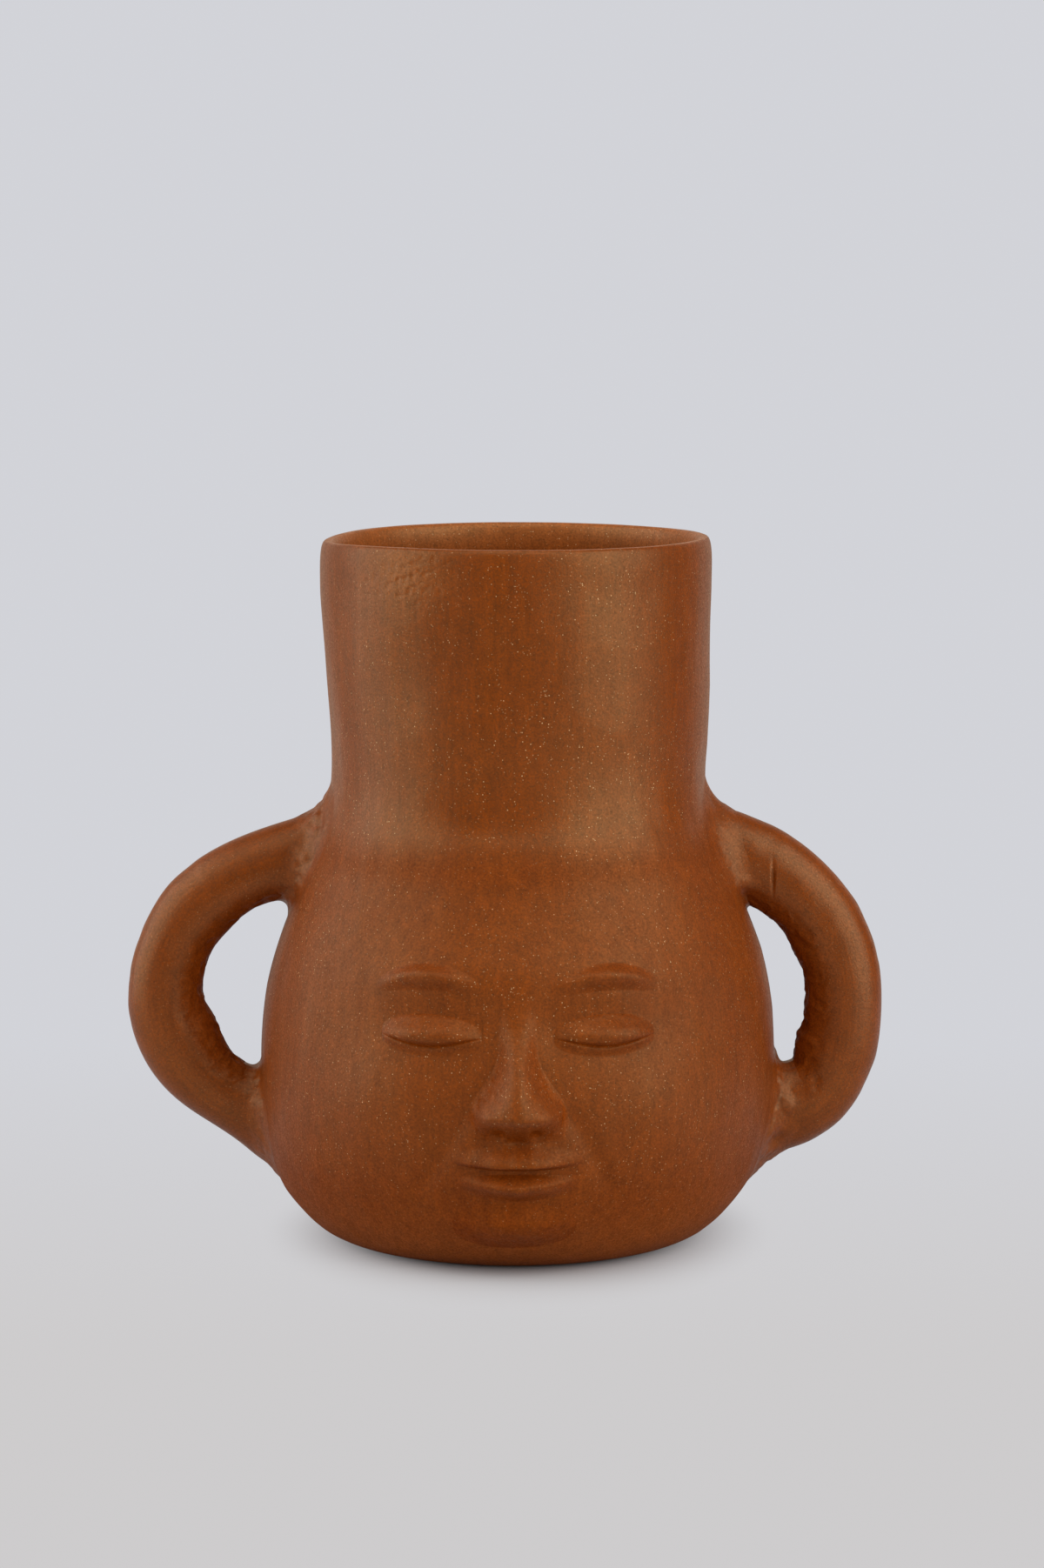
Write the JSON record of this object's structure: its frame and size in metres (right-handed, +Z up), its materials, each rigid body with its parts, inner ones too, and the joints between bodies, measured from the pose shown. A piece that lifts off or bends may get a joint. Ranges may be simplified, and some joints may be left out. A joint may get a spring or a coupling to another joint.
{
  "type": "two-handled face vase",
  "caption": "Hand-built burnished red-clay vase with a round belly, a calm face in low relief, a tall open neck and looped side handles; holds stems or dry goods.",
  "frame": {"origin": "centre of the flat that the vessel stands on", "axes": "+Z up along the vessel's axis, the face looks along -Y, and the handles lie along -X and +X"},
  "size_m": [0.2156, 0.159, 0.2],
  "materials": {
    "burnished_red_clay": "burnished, semi-matt, no glaze",
    "luting_clay": "smoothed by finger, matt"
  },
  "bodies": {
    "root": {"base_pad": "burnished_red_clay", "lower_belly_course": "burnished_red_clay", "upper_belly_course": "burnished_red_clay", "shoulder_course": "burnished_red_clay", "lower_neck_course": "burnished_red_clay", "upper_neck_course": "burnished_red_clay", "rim_coil": "burnished_red_clay", "left_handle": "burnished_red_clay", "right_handle": "burnished_red_clay", "left_upper_luting_coil": "luting_clay", "left_lower_luting_coil": "luting_clay", "right_upper_luting_coil": "luting_clay", "right_lower_luting_coil": "luting_clay", "left_brow": "burnished_red_clay", "right_brow": "burnished_red_clay", "left_eyelid": "burnished_red_clay", "right_eyelid": "burnished_red_clay", "nose": "burnished_red_clay", "upper_lip": "burnished_red_clay", "lower_lip": "burnished_red_clay", "chin": "burnished_red_clay"}
  },
  "joints": []
}
